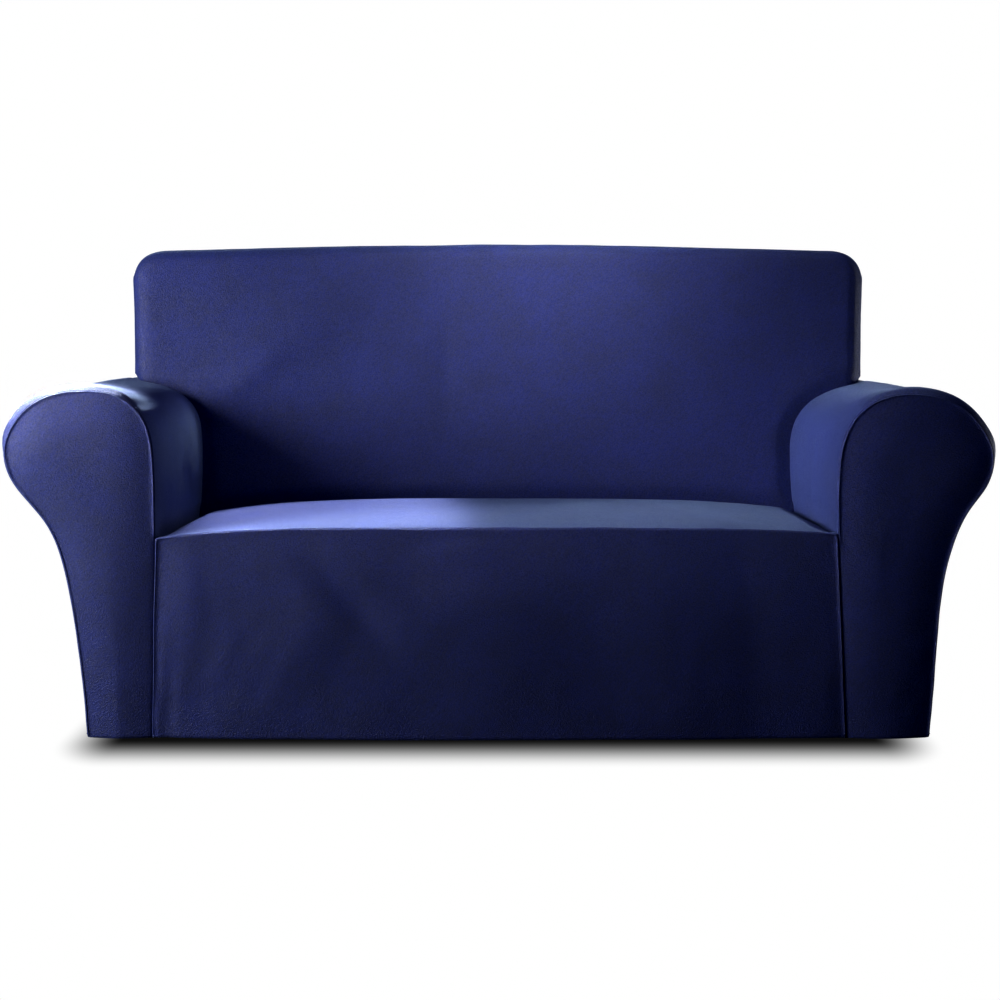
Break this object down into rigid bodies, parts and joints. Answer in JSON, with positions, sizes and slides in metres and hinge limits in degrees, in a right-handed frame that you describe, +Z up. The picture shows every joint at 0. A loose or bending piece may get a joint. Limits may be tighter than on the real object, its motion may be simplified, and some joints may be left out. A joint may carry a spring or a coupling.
{
  "type": "sofa slipcover",
  "caption": "Stretch-fit velvet slipcover for a two-seat sofa with rolled arms: hollow, open at the hem, with separate seat, back, arm and skirt panels",
  "frame": {"origin": "middle of the cover's box in X and Y, at the hem's lowest point", "axes": "+Z up, +X to the viewer's right across the sofa, the front faces -Y"},
  "size_m": [1.773, 0.8904, 0.9005],
  "materials": {
    "velvet_knit": "short-pile stretch velvet knit in royal to navy blue, soft sheen along the nap"
  },
  "bodies": {
    "root": {"front_skirt": "velvet_knit", "seat_top": "velvet_knit", "back_inner": "velvet_knit", "back_outer": "velvet_knit", "back_side_left": "velvet_knit", "back_side_right": "velvet_knit", "arm_sleeve_left": "velvet_knit", "arm_sleeve_right": "velvet_knit", "arm_front_left": "velvet_knit", "arm_front_right": "velvet_knit"}
  },
  "joints": []
}
